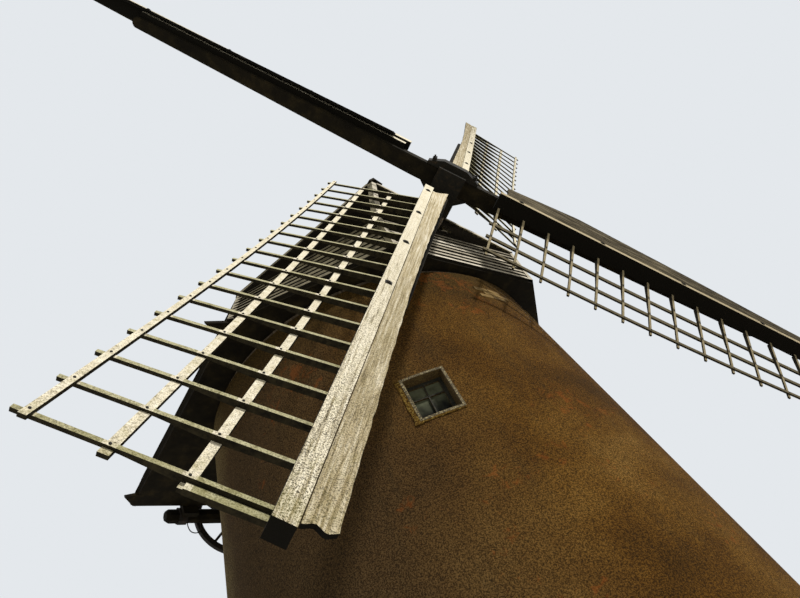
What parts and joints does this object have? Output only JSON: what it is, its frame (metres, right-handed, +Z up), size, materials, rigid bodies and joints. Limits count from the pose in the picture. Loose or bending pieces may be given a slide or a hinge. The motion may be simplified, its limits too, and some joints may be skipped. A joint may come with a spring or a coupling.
{
  "type": "traditional windmill",
  "caption": "Tapering roughcast tower mill with a boarded cap that turns, common sails with wooden bars, and a spoked winding wheel behind the cap.",
  "frame": {"origin": "centre of the tower at ground level, on the underside of the ground floor", "axes": "+Z up, sails face -Y, +X to the right of someone who faces the sails"},
  "size_m": [12.4741, 7.3453, 15.4005],
  "materials": {
    "roughcast_masonry": "rough",
    "stone_flags": "rough",
    "floor_boards": "bare",
    "oak_beams": "bare",
    "tarred_beams": "tarred",
    "weatherboards": "weathered",
    "peeling_painted_timber": "peeling paint",
    "painted_window_timber": "worn paint",
    "door_boards": "weathered",
    "window_glass": "dusty",
    "blackened_iron": "painted",
    "rusted_iron": "rusted"
  },
  "bodies": {
    "tower": {"tower_wall_1": "roughcast_masonry", "tower_wall_2": "roughcast_masonry", "tower_wall_3": "roughcast_masonry", "tower_wall_4": "roughcast_masonry", "tower_wall_5": "roughcast_masonry", "tower_wall_6": "roughcast_masonry", "ground_floor": "stone_flags", "upper_floor": "floor_boards", "curb": "oak_beams", "door_frames": "oak_beams", "doors": "door_boards", "window_frames": "painted_window_timber", "window_glass": "window_glass"},
    "cap": {"cap_frame": "tarred_beams", "cap_front_wall": "weatherboards", "cap_canted_walls": "weatherboards", "cap_side_walls": "weatherboards", "cap_rear_wall": "weatherboards", "cap_front_roof": "weatherboards", "cap_left_canted_roof": "weatherboards", "cap_right_canted_roof": "weatherboards", "cap_left_roof": "weatherboards", "cap_right_roof": "weatherboards", "ridge_board": "tarred_beams", "hip_boards": "weatherboards", "shaft_bearings": "oak_beams", "winding_beam": "tarred_beams", "winding_brackets": "tarred_beams"},
    "sails": {"windshaft": "oak_beams", "poll_end": "blackened_iron", "stock_inner": "tarred_beams", "stock_outer": "tarred_beams", "leading_boards": "peeling_painted_timber", "whip_1": "peeling_painted_timber", "whip_2": "peeling_painted_timber", "whip_3": "peeling_painted_timber", "whip_4": "peeling_painted_timber", "sail_lattice_1": "peeling_painted_timber", "sail_lattice_2": "peeling_painted_timber", "sail_lattice_3": "peeling_painted_timber", "sail_lattice_4": "peeling_painted_timber"},
    "winding_wheel": {"winding_wheel": "rusted_iron"}
  },
  "joints": [
    {"name": "cap_yaw", "type": "hinge", "parent": "tower", "child": "cap", "pos_m": [0, 0, 7.95], "axis": [0, 0, 1], "continuous": true},
    {"name": "sails_spin", "type": "hinge", "parent": "cap", "child": "sails", "pos_m": [0, -2.823, 9.224], "axis": [0, -0.9877, 0.1564], "continuous": true},
    {"name": "winding_wheel_spin", "type": "hinge", "parent": "cap", "child": "winding_wheel", "pos_m": [-1.11, 2.9, 7.905], "axis": [0, 1, 0], "continuous": true}
  ]
}
